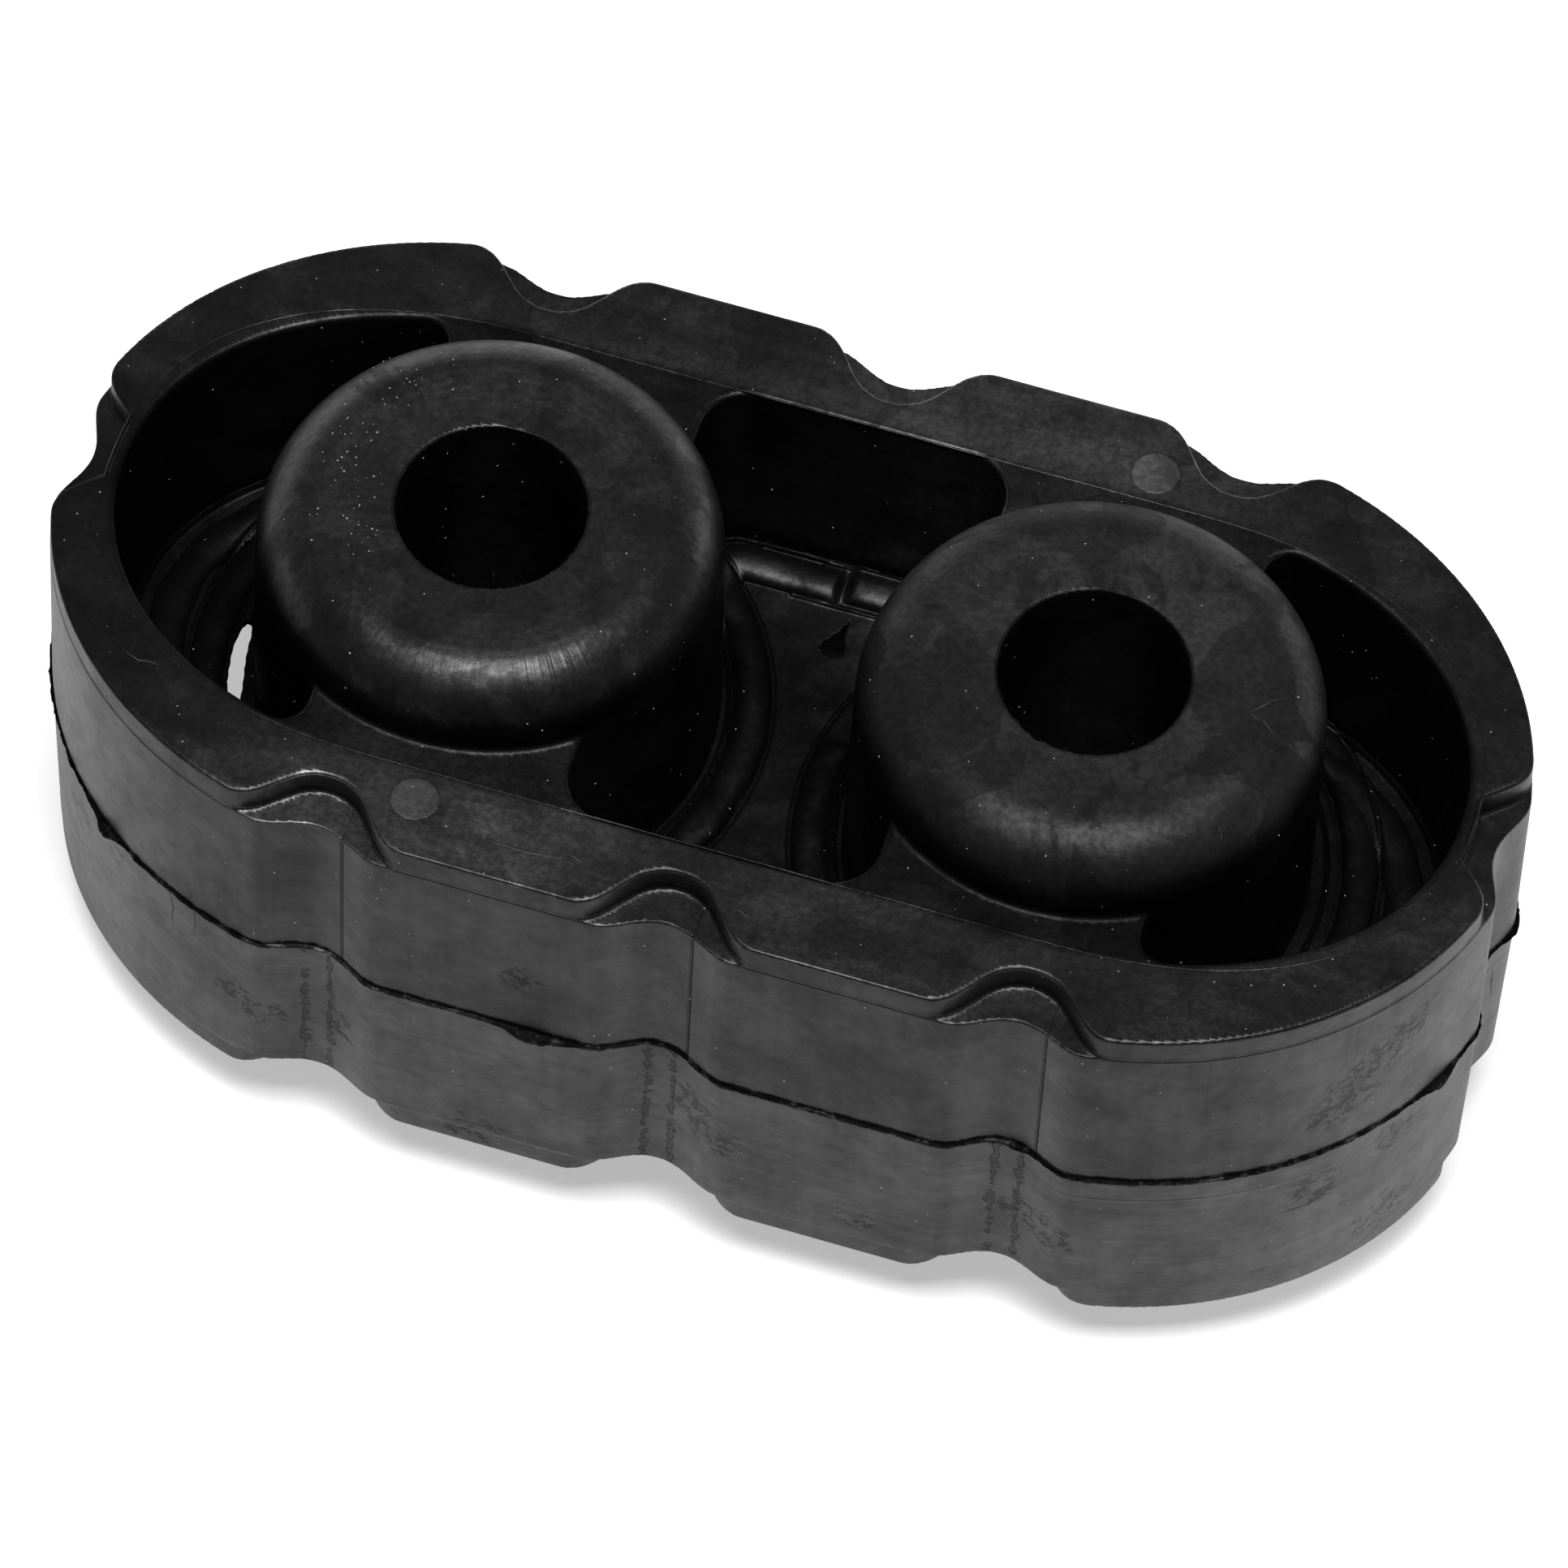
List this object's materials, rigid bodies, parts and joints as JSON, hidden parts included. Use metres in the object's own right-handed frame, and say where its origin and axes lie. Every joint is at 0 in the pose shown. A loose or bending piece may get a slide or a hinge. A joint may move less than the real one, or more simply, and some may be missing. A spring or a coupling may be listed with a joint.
{
  "type": "exhaust hanger rubber",
  "caption": "Oblong moulded rubber block with two round bosses, each with a through bore for a hanger rod, and pockets round them that let the bosses move",
  "frame": {"origin": "Middle of the block in plan, at the level of the lower bosses' flat ends, on which it stands", "axes": "+X along the row of the two bores, which is the block's longest side; +Z along the bores, up through the face with the four round ejector marks; +Y across the block"},
  "size_m": [0.0956, 0.047, 0.0426],
  "materials": {
    "black_rubber": "matt moulded black rubber with mould flash and pale dust"
  },
  "bodies": {
    "root": {"hanger_rubber": "black_rubber"}
  },
  "joints": []
}
